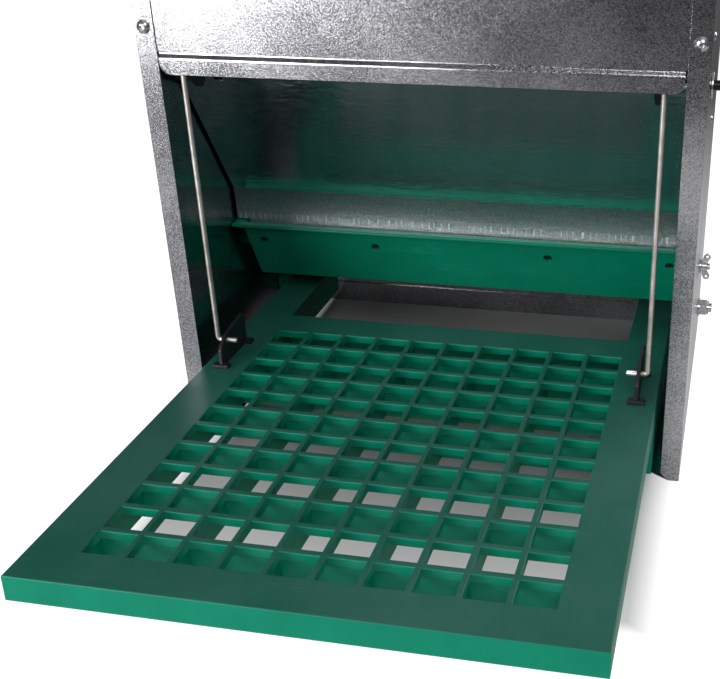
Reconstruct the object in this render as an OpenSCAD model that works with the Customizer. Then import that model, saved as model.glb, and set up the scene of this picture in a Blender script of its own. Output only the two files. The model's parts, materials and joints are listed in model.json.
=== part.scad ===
// Treadle feeder for poultry: a sheet-steel hopper with a trough behind a swinging flap.
// A bird's weight on the step plate pulls two rods down, and they turn the flap open.

/* [Housing] */
// Outer width of the housing
housing_w = 400; // [390:1:420]
// Depth of the housing, front flange to back panel
housing_d = 280; // [276:1:300]
// Height of the hinge pin at the back of the housing
hinge_h = 560.5; // [540:0.5:620]
// Slope of the lid, front edge low
lid_slope = 8.1; // [6:0.1:9]
// Sheet thickness of the steel panels
sheet = 1; // [0.8:0.1:1.2]
// Width of the front flange on each side panel
front_flange_w = 14.4; // [12:0.1:16]
// Width of the bottom flange on each side panel
foot_flange_w = 24; // [20:0.5:26]
// Height of the front panel's lower edge
front_gap_h = 301; // [290:1:310]
// Height of the bent lip along that edge
lip_h = 13; // [10:0.5:15]
// Distance that the lip stands forward of the panel
lip_step = 2; // [1:0.2:3]

/* [Feed path] */
// Height where the baffle meets the front panel
baffle_top = 365; // [355:1:380]
// Outer length of the trough body
trough_len = 381; // [376:1:383]
// Height of the trough's rim
trough_rim_h = 139; // [136:0.5:142]
// Height of the trough's floor
trough_floor_h = 81.2; // [78:0.2:90]

/* [Flap] */
// Distance of the flap axle behind the front face
axle_y = 48; // [46:0.5:50]
// Height of the flap axle
axle_z = 295; // [292:0.5:298]
// Radius of the flap axle
axle_r = 3.5; // [3:0.1:4]
// Half width of the flap
flap_half_w = 196.8; // [194:0.1:197.5]

/* [Step plate] */
// Pitch of the square openings in the step plate
cell = 29.42; // [28:0.01:30]
// Number of openings across
cells_across = 10; // [8:2:10]
// Number of openings front to back
cells_deep = 12; // [8:1:12]
// Width of the step plate
plate_w = 358.4; // [350:0.1:362]
// How far the front of the step plate is raised at rest, in degrees
plate_rise = 3.335; // [3.2:0.005:3.4]
// Distance of the step plate's pivot behind the front face
pivot_y = 225; // [222:1:228]
// Height of the step plate's pivot
pivot_z = 44.5; // [44:0.1:46]

/* [Linkage] */
// Distance of the rods behind the front face
rod_y = 6.5; // [6.3:0.1:6.8]
// Sideways distance of each rod from the middle
rod_x = 171; // [170:0.1:171.5]
// Radius of the rods
rod_r = 2; // [1.8:0.1:2.2]
// Height of each rod's lower hook
rod_low = 88; // [87.5:0.1:88.5]
// Height of each rod's upper hook
rod_high = 304; // [303:0.5:305]

/* [Hidden] */
$fn = 48;
half_w = housing_w / 2;
inner_w = half_w - sheet;
touch = 0.1;
run_gap = 0.05;
opening_half = half_w - front_flange_w;
crease_z = front_gap_h + lip_h;
hinge_y = housing_d + 4;
knuckle_r = 4;
hinge_pin_r = 1.95;
leaf_t = 1.2;
hinge_half = 180;
knuckle_count = 12;
knuckle_len = 2 * hinge_half / knuckle_count;
knuckle_gap = 0.3;
lid_under = 1.8;
lid_half = half_w + 3.5;
lid_depth = 301;
lid_skirt = 18;
rivet_r = 1.6;
rivet_fit = 0.05;

// Height of the side panels' sloping top edge at a distance y behind the front face
function top_z(y) = hinge_h + 1.5 / cos(lid_slope) - (hinge_y - y) * tan(lid_slope);

front_top = top_z(0) - 1;
back_top = top_z(housing_d) - 1.5;

screw_x = half_w - 6.8;
screw_heights = [334, 480];
rear_rivet_heights = [60, 190, 320, 450];
baffle_rivet_x = [-160, -80, 0, 80, 160];
baffle_end = [185, 196];
baffle_lip = [185, 178];
baffle_flange = 12;
baffle_rivet_steps = [0.25, 0.75];

trough_front = 126.5;
trough_back = 262;
trough_wall = 2.5;
rim_t = 3;
rim_front = 119;
tub_lean = 27.8;
dimple_z = 122;
dimple_r = 3.2;
tub_rear_lean = 11.7;
trough_bolt = [160, 112.5];
trough_bolt_r = 2.5;

flap_bend = [129.9, 170.0];
flap_tip = [131.3, 137];
flap_notch_h = 142;
lever_x = 166.2;
lever_t = 4;
lever_slot = 6;
flap_lean = atan2(flap_bend[0] - axle_y, axle_z - flap_bend[1]);
weight_at = 126;
weight_len = 300;
weight_w = 24;
weight_t = 8;

plate_top = 12.7;
plate_front = -534.95;
plate_half = plate_w / 2;
plate_skin = 3;
skin_under = plate_top - plate_skin;
grid_t = 6;
rib_low_front = 21.4;
rib_low_rear = 28.6;
rib_w = 2.4;
rib_top_x = 4.2;
rib_top_y = 5.2;
skirt_wall = 3;
skirt_h = 17.4;
cheek_front = -239;
cheek_h = 56.5;
window_half = 147;
window_front = -119.5;
window_h = 27;
arm_end = 14;
boss_r = 12;
boss_in = 174.4;
boss_out = 198.6;
pivot_bolt_r = 4;
grid_front = plate_front + 1.04 * cell;
grid_half = cells_across * cell / 2;

bracket_x = 164.5;
bracket_t = 3;
bracket_h = 27;
hook_y = -220.7;
hook_z = 30.7;
foot_w = 13.4;
foot_len = 7;
foot_t = 3;
foot_front = -238;
foot_rear = -187;

// The frame's origin is on the ground, under the middle of the feeder's footprint
plate_nose = pivot_y + plate_front * cos(plate_rise) + (plate_top - skirt_h) * sin(plate_rise);
mid_y = (plate_nose + hinge_y + knuckle_r) / 2;

// ---- helpers ----

module place() translate([0, -mid_y, 0]) children();

// Extrudes an outline drawn in (y, z) from x0 to x1
module along_x(x0, x1) translate([x0, 0, 0]) rotate([90, 0, 90]) linear_extrude(x1 - x0) children();

// Extrudes an outline drawn in (x, z) from y0 to y1
module along_y(y0, y1) translate([0, y1, 0]) rotate([90, 0, 0]) linear_extrude(y1 - y0) children();

// A round bar along X, from x0 to x1, through the point p = [y, z]
module bar_x(x0, x1, p, r) translate([x0, p[0], p[1]]) rotate([0, 90, 0]) cylinder(h = x1 - x0, r = r);

// A round bar along Y, from y0 to y1, through [x, z]
module bar_y(y0, y1, x, z, r) translate([x, y0, z]) rotate([-90, 0, 0]) cylinder(h = y1 - y0, r = r);

// A flat strip of width w along the line from a to b
module strip(a, b, w) {
    len = norm(b - a);
    translate(a) rotate(atan2(b[1] - a[1], b[0] - a[0])) translate([0, -w / 2]) square([len, w]);
}

// A bent sheet of thickness w along a list of points, with round bends
module bent(points, w) {
    for (i = [0 : len(points) - 2]) strip(points[i], points[i + 1], w);
    for (i = [1 : len(points) - 2]) translate(points[i]) circle(d = w);
}

// Two circles joined by their outer tangents
module link(a, ra, b, rb) {
    lean = atan2(b[1] - a[1], b[0] - a[0]);
    spread = acos((ra - rb) / norm(b - a));
    up = [cos(lean + spread), sin(lean + spread)];
    down = [cos(lean - spread), sin(lean - spread)];
    translate(a) circle(ra);
    translate(b) circle(rb);
    polygon([a + ra * up, a + ra * down, b + rb * down, b + rb * up]);
}

module both_sides() {
    children();
    mirror([1, 0, 0]) children();
}

module ring(r_out, r_in) difference() {
    circle(r_out);
    circle(r_in);
}

// A set rivet on the Z axis: head above z = 0, tail below z = -grip
module rivet(grip) {
    rotate_extrude() {
        translate([0, -grip - 0.8]) square([2.3, 0.8]);
        translate([0, -grip]) square([rivet_r, grip]);
        intersection() {
            translate([0, -2.6]) circle(4);
            square([3.1, 1.4]);
        }
    }
}

module step_frame() translate([0, pivot_y, pivot_z]) rotate([-plate_rise, 0, 0]) children();

module lid_frame() translate([0, hinge_y, hinge_h]) rotate([lid_slope, 0, 0]) children();

// ---- housing ----

module side_panel_shape() {
    chamfer = 6.3;
    mitre_x = half_w - 8.6;
    foot_x = half_w - foot_flange_w;
    rear_x = half_w - 20;
    back = housing_d - sheet;
    difference() {
        union() {
            along_x(inner_w, half_w)
                polygon([[0, 0], [back, 0], [back, top_z(back)], [0, top_z(0)]]);
            along_y(0, sheet)
                polygon([[opening_half, chamfer], [mitre_x, 0], [half_w, 0],
                    [half_w, front_top], [opening_half, front_top]]);
            linear_extrude(sheet)
                polygon([[mitre_x, 0], [half_w, 0], [half_w, back], [foot_x, back], [foot_x, 10]]);
            translate([rear_x, back - sheet, 0]) cube([half_w - rear_x, sheet, back_top]);
        }
        bar_x(inner_w - 1, half_w + 1, [axle_y, axle_z], 6);
        bar_x(inner_w - 1, half_w + 1, [pivot_y, pivot_z], pivot_bolt_r + 0.2);
        bar_x(inner_w - 1, half_w + 1, trough_bolt, trough_bolt_r + 0.2);
        for (z = screw_heights) bar_y(-1, sheet + 1, screw_x, z, 2.7);
        for (z = rear_rivet_heights) bar_y(back - 3, back + 1, half_w - 10, z, rivet_r + rivet_fit);
        for (s = baffle_rivet_steps)
            bar_x(inner_w - 1, half_w + 1, baffle_side_point(s), rivet_r + rivet_fit);
    }
}

module left_side_panel() color("silver") place() mirror([1, 0, 0]) side_panel_shape();

module right_side_panel() color("silver") place() side_panel_shape();

module front_panel() color("silver") place() {
    lip_half = opening_half - 1.1;
    corner_r = 8;
    panel_y = 1.5 * sheet;
    lip_y = panel_y - lip_step;
    difference() {
        union() {
            translate([-inner_w + touch, sheet, crease_z + 2])
                cube([2 * (inner_w - touch), sheet, front_top - crease_z - 2]);
            along_x(-lip_half, lip_half)
                bent([[panel_y, crease_z + 6], [panel_y, crease_z + 1.5], [lip_y, crease_z - 1.5],
                    [lip_y, front_gap_h]], sheet);
        }
        both_sides() along_y(lip_y - 2, panel_y) difference() {
            translate([lip_half - corner_r, front_gap_h - 1]) square(corner_r + 1);
            translate([lip_half - corner_r, front_gap_h + corner_r]) circle(corner_r);
        }
        for (z = screw_heights) both_sides() bar_y(0, 3, screw_x, z, 2.7);
        for (x = baffle_rivet_x) bar_y(0, 3, x, baffle_top + 12, rivet_r + rivet_fit);
    }
}

module back_panel() color("silver") place() {
    hem_half = half_w - foot_flange_w - 2;
    face = housing_d - sheet;
    difference() {
        union() {
            translate([-half_w, face, 0]) cube([housing_w, sheet, back_top]);
            translate([-hem_half, face - 1.1, 0]) cube([2 * hem_half, sheet, 20]);
            translate([-hem_half, face - 1.1, 0]) cube([2 * hem_half, 1.6, sheet]);
        }
        for (z = rear_rivet_heights) both_sides()
            bar_y(face - 1, housing_d + 1, half_w - 10, z, rivet_r + rivet_fit);
        for (x = hinge_rivet_x())
            bar_y(face - 1, housing_d + 1, x, hinge_rivet_z(), rivet_r + rivet_fit);
    }
}

// ---- feed path ----

function baffle_start() = [2 * sheet + sheet / 2, baffle_top];

// A point on the baffle's side flange, a part s of the way down the slope
function baffle_side_point(s) =
    baffle_start() + s * (baffle_end - baffle_start()) + baffle_flange / 2 * [0.676, 0.737];

module feed_baffle() color("silver") place() {
    start = baffle_start();
    lean = atan2(baffle_end[1] - start[1], baffle_end[0] - start[0]);
    run = norm(baffle_end - start);
    difference() {
        union() {
            along_x(-inner_w, inner_w) bent([start + [0, 22], start, baffle_end, baffle_lip], sheet);
            both_sides() along_x(inner_w - sheet, inner_w)
                translate(start) rotate(lean) translate([14, 0]) square([run - 14, baffle_flange]);
        }
        for (x = baffle_rivet_x) bar_y(0, 6, x, baffle_top + 12, rivet_r + rivet_fit);
        for (s = baffle_rivet_steps) both_sides()
            bar_x(inner_w - 3, inner_w + 1, baffle_side_point(s), rivet_r + rivet_fit);
    }
}

function tub_front(z) = trough_front + (trough_rim_h - z) * tan(tub_lean);
function tub_rear(z) = trough_back - (trough_rim_h - z) * tan(tub_rear_lean);

// The tub's section in (y, z) between two heights, grown outwards by a distance
function tub_section(low, top, grow) = [[tub_front(top) - grow, top], [tub_front(low) - grow, low],
    [tub_rear(low) + grow, low], [tub_rear(top) + grow, top]];

module feed_trough() color([0.0, 0.45, 0.36]) place() {
    half_len = trough_len / 2;
    rim_half = inner_w - 0.5;
    rim_rear = trough_back + 12;
    rim_low = trough_rim_h - rim_t / 2;
    rim_top = trough_rim_h + rim_t / 2;
    edge = 0.8;
    grow = trough_wall / 2;
    difference() {
        union() {
            along_x(-half_len, half_len) polygon(tub_section(trough_floor_h - grow, trough_rim_h, grow));
            along_x(-rim_half, rim_half)
                polygon([[rim_front, rim_low + edge], [rim_front + edge, rim_low], [rim_rear, rim_low],
                    [rim_rear, rim_top], [rim_front + edge, rim_top], [rim_front, rim_top - edge]]);
            both_sides() bar_x(half_len - touch, inner_w, trough_bolt, 7);
        }
        along_x(trough_wall - half_len, half_len - trough_wall)
            polygon(tub_section(trough_floor_h + grow, rim_top + 1, -grow));
        both_sides() bar_x(half_len - 4, inner_w + 1, trough_bolt, trough_bolt_r + 0.2);
        for (x = [-176, -75, 75, 176])
            translate([x, tub_front(dimple_z), dimple_z]) rotate([90 + tub_lean, 0, 0])
                cylinder(h = 4, r = dimple_r);
    }
}

// ---- fasteners of the housing ----

module button_screw(grip) {
    difference() {
        rotate_extrude() {
            translate([0, -grip]) square([2.5, grip]);
            intersection() {
                translate([0, -3.4]) circle(6.2);
                square([5, 2.8]);
            }
        }
        translate([0, 0, 1.1]) cylinder(h = 3, r = 1.75, $fn = 6);
    }
}

module front_screws() color("gainsboro") place()
    for (z = screw_heights) both_sides() translate([screw_x, 0, z]) rotate([90, 0, 0]) button_screw(8);

module front_nuts() color("gainsboro") place()
    for (z = screw_heights) both_sides() difference() {
        translate([screw_x, 2 * sheet, z]) rotate([-90, 30, 0]) cylinder(h = 4, r = 4.6, $fn = 6);
        bar_y(0, 8, screw_x, z, 2.5);
    }

module back_rivets() color("gainsboro") place()
    for (z = rear_rivet_heights) both_sides()
        translate([half_w - 10, housing_d, z]) rotate([-90, 0, 0]) rivet(2 * sheet);

module baffle_rivets() color("gainsboro") place() {
    for (x = baffle_rivet_x) translate([x, sheet, baffle_top + 12]) rotate([90, 0, 0]) rivet(2 * sheet);
    for (s = baffle_rivet_steps) both_sides()
        translate([half_w, baffle_side_point(s)[0], baffle_side_point(s)[1]])
            rotate([0, 90, 0]) rivet(2 * sheet);
}

module trough_bolts() color("gainsboro") place() both_sides() {
    inside = trough_len / 2 - trough_wall;
    bar_x(inside - touch, half_w + 8.4, trough_bolt, trough_bolt_r);
    translate([inside, trough_bolt[0], trough_bolt[1]]) rotate([0, -90, 0])
        rotate_extrude() intersection() {
            translate([0, -3.4]) circle(6.2);
            square([5, 2.8]);
        }
}

module wing_nuts() color("gainsboro") place() both_sides() difference() {
    translate([half_w, trough_bolt[0], trough_bolt[1]]) {
        rotate([0, 90, 0]) cylinder(h = 1.2, r = 5.8);
        translate([1.2, 0, 0]) rotate([0, 90, 0]) cylinder(h = 5, r1 = 5, r2 = 4.2);
        translate([1.2, 0.9, 0]) rotate([90, 0, 0]) linear_extrude(1.8)
            for (s = [-1, 1]) difference() {
                union() {
                    link([2.2, s * 3.4], 2, [4.4, s * 8.6], 2.8);
                    polygon([[0.6, 0], [0.8, s * 4], [4, s * 4], [4.4, 0]]);
                }
                translate([4.5, s * 8.7]) circle(1.1);
            }
    }
    bar_x(half_w - 1, half_w + 14, trough_bolt, trough_bolt_r + 0.02);
}

module axle_bushes() color([0.06, 0.06, 0.06]) place() both_sides() {
    at = [axle_y, axle_z];
    along_x(inner_w - 6, inner_w) translate(at) ring(11, axle_r + run_gap);
    along_x(inner_w, half_w + 0.4) translate(at) ring(5.95, axle_r + run_gap);
}

module axle_washers() color("gainsboro") place() both_sides()
    along_x(half_w + 0.4, half_w + 1.8) translate([axle_y, axle_z]) ring(9, axle_r + run_gap);

module pivot_bolts() color("gainsboro") place() both_sides() {
    head_end = boss_in - 0.4;
    translate([head_end - 5.3, pivot_y, pivot_z]) rotate([0, 90, 0]) cylinder(h = 5.3, r = 7.5, $fn = 6);
    bar_x(head_end - touch, half_w + 12.2, [pivot_y, pivot_z], pivot_bolt_r);
}

module pivot_washers() color("gainsboro") place() both_sides()
    along_x(half_w, half_w + 1.6) translate([pivot_y, pivot_z]) ring(8, pivot_bolt_r + 0.02);

module pivot_nuts() color("gainsboro") place() both_sides() difference() {
    translate([half_w + 1.6, pivot_y, pivot_z]) {
        rotate([0, 90, 0]) cylinder(h = 6.2, r = 7.5, $fn = 6);
        rotate([0, 90, 0]) cylinder(h = 8, r = 6);
    }
    bar_x(half_w, half_w + 14, [pivot_y, pivot_z], pivot_bolt_r + 0.02);
}

// ---- lid hinge, fixed half ----

function hinge_rivet_x() = [-165, -82.5, 0, 82.5, 165];
function hinge_rivet_z() = hinge_h - 15;

module knuckle_row(first) for (i = [first : 2 : knuckle_count - 1]) {
    x0 = -hinge_half + i * knuckle_len + knuckle_gap;
    along_x(x0, x0 + knuckle_len - 2 * knuckle_gap) ring(knuckle_r, hinge_pin_r + run_gap);
}

module lid_hinge_leaf() color("gainsboro") place() {
    leaf_h = 26;
    translate([0, hinge_y, hinge_h]) knuckle_row(0);
    difference() {
        union() {
            translate([-hinge_half, housing_d, hinge_h - leaf_h])
                cube([2 * hinge_half, leaf_t, leaf_h - knuckle_r - 1]);
            for (i = [0 : 2 : knuckle_count - 1])
                translate([-hinge_half + i * knuckle_len + knuckle_gap, housing_d, hinge_h - knuckle_r - 2])
                    cube([knuckle_len - 2 * knuckle_gap, leaf_t, knuckle_r + 2]);
        }
        for (x = hinge_rivet_x())
            bar_y(housing_d - 1, housing_d + 3, x, hinge_rivet_z(), rivet_r + rivet_fit);
    }
}

module lid_hinge_pin() color("gainsboro") place()
    bar_x(-hinge_half - 2, hinge_half + 2, [hinge_y, hinge_h], hinge_pin_r);

module hinge_rivets() color("gainsboro") place()
    for (x = hinge_rivet_x())
        translate([x, housing_d + leaf_t, hinge_rivet_z()]) rotate([-90, 0, 0]) rivet(leaf_t + sheet);

// ---- step plate ----

function row_y(j) = grid_front + j * cell;
function column_x(i) = -grid_half + i * cell;

module plate_openings() {
    for (i = [0 : cells_across - 1]) for (j = [0 : cells_deep - 1])
        translate([column_x(i) + rib_top_x / 2, row_y(j) + rib_top_y / 2, plate_top - grid_t - 1])
            cube([cell - rib_top_x, cell - rib_top_y, grid_t + 2]);
}

// Depth of the deep ribs below the top face, a part s of the way back over the grid
function rib_low(s) = rib_low_front + s * (rib_low_rear - rib_low_front);

module plate_ribs() {
    rib_root = plate_top - grid_t + 1;
    rear = row_y(cells_deep);
    for (i = [0 : 2 : cells_across])
        along_x(column_x(i) - rib_w / 2, column_x(i) + rib_w / 2)
            polygon([[row_y(0), plate_top - rib_low(0)], [rear, plate_top - rib_low(1)],
                [rear, rib_root], [row_y(0), rib_root]]);
    for (j = [1 : 2 : cells_deep - 1])
        translate([-grid_half, row_y(j) - rib_w / 2, plate_top - rib_low(j / cells_deep)])
            cube([2 * grid_half, rib_w, rib_low(j / cells_deep) - grid_t + 1]);
}

module treadle_plate() color([0.2, 0.56, 0.48]) place() step_frame() difference() {
    union() {
        difference() {
            union() {
                translate([-plate_half, plate_front, skin_under])
                    cube([plate_w, arm_end - plate_front, plate_skin]);
                translate([-grid_half - 2, row_y(0) - 2, plate_top - grid_t])
                    cube([2 * grid_half + 4, cells_deep * cell + 4, grid_t]);
            }
            plate_openings();
            translate([-window_half, window_front, plate_top - 10]) cube([2 * window_half, 200, 20]);
        }
        plate_ribs();
        translate([-plate_half, plate_front, plate_top - skirt_h]) cube([plate_w, skirt_wall, skirt_h]);
        both_sides() translate([plate_half - skirt_wall, plate_front, plate_top - skirt_h])
            cube([skirt_wall, cheek_front - plate_front, skirt_h]);
        both_sides() translate([window_half, cheek_front, plate_top - window_h])
            cube([skirt_wall, arm_end - cheek_front, window_h - 1]);
        translate([-window_half - 1, window_front - skirt_wall, plate_top - window_h])
            cube([2 * window_half + 2, skirt_wall, window_h]);
    }
    for (p = bracket_screw_points()) translate([p[0], p[1], 0]) cylinder(h = 40, r = 1.3);
}

// The part of the moulding below the skin on one side: outer wall, front wall and boss
module treadle_arm_shape() step_frame() difference() {
    low = plate_top - cheek_h;
    union() {
        along_x(plate_half - skirt_wall, plate_half)
            polygon([[cheek_front, skin_under], [cheek_front, low], [-224, low], [-214, low + 3.5],
                [-60, -22], [-8, -14], [arm_end, -10], [arm_end, skin_under]]);
        translate([window_half + skirt_wall, cheek_front, low])
            cube([plate_half - window_half - skirt_wall - 1, skirt_wall, cheek_h - plate_skin]);
        bar_x(boss_in, boss_out, [0, 0], boss_r);
    }
    bar_x(boss_in - 1, boss_out + 1, [0, 0], pivot_bolt_r + 0.08);
    translate([boss_in - 1, -boss_r - 1, skin_under])
        cube([plate_half - boss_in + 1, 2 * boss_r + 2, boss_r]);
    for (p = bracket_screw_points())
        translate([p[0], p[1], skin_under - 3]) cylinder(h = 4, r = 2.8);
}

module treadle_arm_left() color([0.2, 0.56, 0.48]) place() mirror([1, 0, 0]) treadle_arm_shape();

module treadle_arm_right() color([0.2, 0.56, 0.48]) place() treadle_arm_shape();

// ---- rod brackets ----

function bracket_screw_points() = [for (s = [-1, 1]) for (y = [foot_front, foot_rear])
    [s * (bracket_x + 3.6), y + foot_len / 2]];

module rod_bracket_shape() step_frame() {
    x0 = bracket_x - bracket_t / 2;
    y0 = foot_front + foot_len - 4;
    y1 = foot_rear + 4;
    top = plate_top + bracket_h;
    difference() {
        union() {
            along_x(x0, x0 + bracket_t)
                polygon([[y0, plate_top], [y1, plate_top], [y1, top - 4], [y1 - 3, top], [y1 - 9, top],
                    [hook_y - 2, top - 4], [y0 + 3, top - 9], [y0, top - 13]]);
            for (y = [foot_front, foot_rear])
                translate([bracket_x - foot_w / 2, y, plate_top]) cube([foot_w, foot_len, foot_t]);
        }
        bar_x(x0 - 1, x0 + bracket_t + 1, [hook_y, hook_z], rod_r + run_gap);
        for (y = [foot_front, foot_rear])
            translate([bracket_x + 3.6, y + foot_len / 2, plate_top - 1]) cylinder(h = 3.2, r = 1.3);
    }
}

module rod_bracket_left() color([0.08, 0.08, 0.09]) place() mirror([1, 0, 0]) rod_bracket_shape();

module rod_bracket_right() color([0.08, 0.08, 0.09]) place() rod_bracket_shape();

module bracket_screws() color("gainsboro") place() step_frame() for (p = bracket_screw_points())
    translate([p[0], p[1], plate_top - plate_skin]) {
        translate([0, 0, -1.6]) cylinder(h = 1.6, r = 2.6);
        cylinder(h = plate_skin + 2, r = 1.28);
    }

// ---- rods ----

module rod_shape() {
    bend = 3;
    low_tip = bracket_x - 9;
    high_tip = lever_x - lever_t / 2 - 3.5;
    inner = rod_x - bend;
    bar_x(low_tip, inner, [rod_y, rod_low], rod_r);
    bar_x(high_tip, inner, [rod_y, rod_high], rod_r);
    translate([rod_x, rod_y, rod_low + bend]) cylinder(h = rod_high - rod_low - 2 * bend, r = rod_r);
    translate([inner, rod_y, rod_low + bend]) rotate([90, 0, 0]) rotate([0, 0, -90])
        rotate_extrude(angle = 90) translate([bend, 0]) circle(rod_r);
    translate([inner, rod_y, rod_high - bend]) rotate([90, 0, 0])
        rotate_extrude(angle = 90) translate([bend, 0]) circle(rod_r);
}

module rod_left() color([0.82, 0.78, 0.76]) place() mirror([1, 0, 0]) rod_shape();

module rod_right() color([0.82, 0.78, 0.76]) place() rod_shape();

// ---- flap ----

module feed_flap() color("lightgray") place() {
    hub = [axle_y, axle_z];
    roll_r = axle_r + 1.1;
    along = [sin(flap_lean), -cos(flap_lean)];
    slot_half = lever_t / 2 + 1.5;
    difference() {
        along_x(-flap_half_w, flap_half_w) difference() {
            union() {
                translate(hub) circle(roll_r);
                bent([hub + axle_r * along, flap_bend, flap_tip], sheet);
            }
            translate(hub) circle(axle_r + 0.02);
        }
        both_sides() translate([lever_x - slot_half, axle_y - 8, axle_z - lever_slot - 6])
            cube([2 * slot_half, 20, 24]);
        both_sides() translate([inner_w - 6.6, axle_y - 8, axle_z - 16]) cube([20, 22, 30]);
        both_sides() translate([trough_len / 2 - 5, 120, 130]) cube([20, 20, flap_notch_h - 130]);
    }
}

// Turn about X that points the Z axis out of the flap's back
function flap_normal() = flap_lean - 90;

// A point x across, s down the flap from the axle and h behind its middle plane
function hub_point(x, s, h) = [x, axle_y + s * sin(flap_lean) + h * cos(flap_lean),
    axle_z - s * cos(flap_lean) + h * sin(flap_lean)];

module flap_axle() color([0.07, 0.07, 0.07]) place()
    bar_x(-half_w - 12, half_w + 12, [axle_y, axle_z], axle_r);

module lever_shape() {
    tip = [rod_y, rod_high];
    belly = [22, 295];
    hub = [axle_y, axle_z];
    x0 = lever_x - lever_t / 2;
    difference() {
        along_x(x0, x0 + lever_t) difference() {
            union() {
                link(tip, 5.2, belly, 7.8);
                link(belly + [0, 2], 5, hub, 5);
                translate(hub) circle(8);
            }
            translate(hub) circle(axle_r + 0.02);
        }
        bar_x(x0 - 1, x0 + lever_t + 1, tip, rod_r + 0.6);
        translate([lever_x, axle_y, axle_z]) cylinder(h = 10, r = 1.55);
    }
}

module lever_left() color([0.07, 0.07, 0.07]) place() mirror([1, 0, 0]) lever_shape();

module lever_right() color([0.07, 0.07, 0.07]) place() lever_shape();

module lever_screws() color("gainsboro") place() both_sides()
    translate([lever_x, axle_y, axle_z + axle_r]) cylinder(h = 6, r = 1.5);

module flap_weight() color("dimgray") place()
    translate(hub_point(-weight_len / 2, weight_at, sheet / 2)) rotate([flap_normal(), 0, 0])
        translate([0, -weight_w / 2, 0]) cube([weight_len, weight_w, weight_t]);

// ---- lid ----

module lid_panel() color("silver") place() lid_frame() difference() {
    skirt_rise = lid_skirt + lid_under + sheet;
    union() {
        translate([-lid_half, -lid_depth, lid_under]) cube([2 * lid_half, lid_depth - 4.5, sheet]);
        translate([-lid_half, -lid_depth, -lid_skirt]) cube([2 * lid_half, sheet, skirt_rise]);
        both_sides() translate([lid_half - sheet, -lid_depth, -lid_skirt])
            cube([sheet, lid_depth - 4.5, skirt_rise]);
    }
    for (x = hinge_rivet_x()) translate([x, -16, 0]) cylinder(h = 10, r = rivet_r + rivet_fit);
}

module lid_hinge_strap() color("gainsboro") place() lid_frame() {
    knuckle_row(1);
    strap_z = lid_under + sheet;
    difference() {
        union() {
            translate([-hinge_half, -24, strap_z]) cube([2 * hinge_half, 19, leaf_t]);
            for (i = [1 : 2 : knuckle_count - 1])
                translate([-hinge_half + i * knuckle_len + knuckle_gap, -6, strap_z])
                    cube([knuckle_len - 2 * knuckle_gap, 6, leaf_t]);
        }
        for (x = hinge_rivet_x()) translate([x, -16, 0]) cylinder(h = 10, r = rivet_r + rivet_fit);
    }
}

module lid_rivets() color("gainsboro") place() lid_frame()
    for (x = hinge_rivet_x()) translate([x, -16, lid_under + sheet + leaf_t]) rivet(leaf_t + sheet);

left_side_panel();
right_side_panel();
front_panel();
back_panel();
feed_baffle();
feed_trough();
front_screws();
front_nuts();
back_rivets();
baffle_rivets();
trough_bolts();
wing_nuts();
axle_bushes();
axle_washers();
pivot_bolts();
pivot_washers();
pivot_nuts();
lid_hinge_leaf();
lid_hinge_pin();
hinge_rivets();
treadle_plate();
treadle_arm_left();
treadle_arm_right();
rod_bracket_left();
rod_bracket_right();
bracket_screws();
rod_left();
rod_right();
feed_flap();
flap_axle();
lever_left();
lever_right();
lever_screws();
flap_weight();
lid_panel();
lid_hinge_strap();
lid_rivets();
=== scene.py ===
"""Treadle feeder: finished sheets, plastics, fasteners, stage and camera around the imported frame."""

import json
import math

import bmesh
import bpy
import numpy as np
from bpy.props import FloatProperty, FloatVectorProperty, PointerProperty
from bpy.types import Operator, Panel, PropertyGroup
from mathutils import Matrix, Vector

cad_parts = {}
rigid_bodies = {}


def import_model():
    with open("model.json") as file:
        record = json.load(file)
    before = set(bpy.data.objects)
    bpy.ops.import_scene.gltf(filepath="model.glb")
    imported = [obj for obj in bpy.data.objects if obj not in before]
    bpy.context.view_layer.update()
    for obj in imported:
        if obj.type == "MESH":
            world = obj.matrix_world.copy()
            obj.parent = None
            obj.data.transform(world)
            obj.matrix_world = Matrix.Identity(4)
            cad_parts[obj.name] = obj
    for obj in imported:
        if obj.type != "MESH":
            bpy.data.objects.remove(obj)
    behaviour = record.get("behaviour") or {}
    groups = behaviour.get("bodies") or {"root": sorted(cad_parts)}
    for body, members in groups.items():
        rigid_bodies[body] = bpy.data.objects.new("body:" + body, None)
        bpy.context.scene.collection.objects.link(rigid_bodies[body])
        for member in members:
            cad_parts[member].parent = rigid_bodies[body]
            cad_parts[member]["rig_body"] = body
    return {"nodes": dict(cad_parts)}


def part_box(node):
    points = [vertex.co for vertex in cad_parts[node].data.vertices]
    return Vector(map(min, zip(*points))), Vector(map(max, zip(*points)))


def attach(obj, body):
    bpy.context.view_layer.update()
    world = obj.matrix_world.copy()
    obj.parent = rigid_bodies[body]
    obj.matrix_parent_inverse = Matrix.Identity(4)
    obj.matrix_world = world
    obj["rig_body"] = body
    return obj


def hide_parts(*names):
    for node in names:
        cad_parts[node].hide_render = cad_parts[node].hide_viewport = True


bl_info = {
    "name": "Treadle Feeder",
    "version": (1, 0, 0),
    "blender": (4, 5, 0),
    "location": "View3D > Sidebar > Feeder",
    "description": "Sheet-steel feeder with a step plate that lifts the flap over its trough",
    "category": "Add Mesh",
}

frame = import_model()

MM = 0.001
OPENING_HALF = 185.6 * MM
BEND_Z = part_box("feed_flap")[0].z + 33 * MM
SCORE_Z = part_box("feed_flap")[0].z + 6 * MM
SCORE_PITCH = 5.6 * MM
DIMPLE_X = (75.0 * MM, 176.0 * MM)
DIMPLE_Z = 121.6 * MM
LEVER_GRIP = 5.2 * MM

RISE = math.radians(3.335)
PIVOT = np.mean([np.array(corner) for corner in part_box("pivot_bolts")], axis=0)

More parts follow.
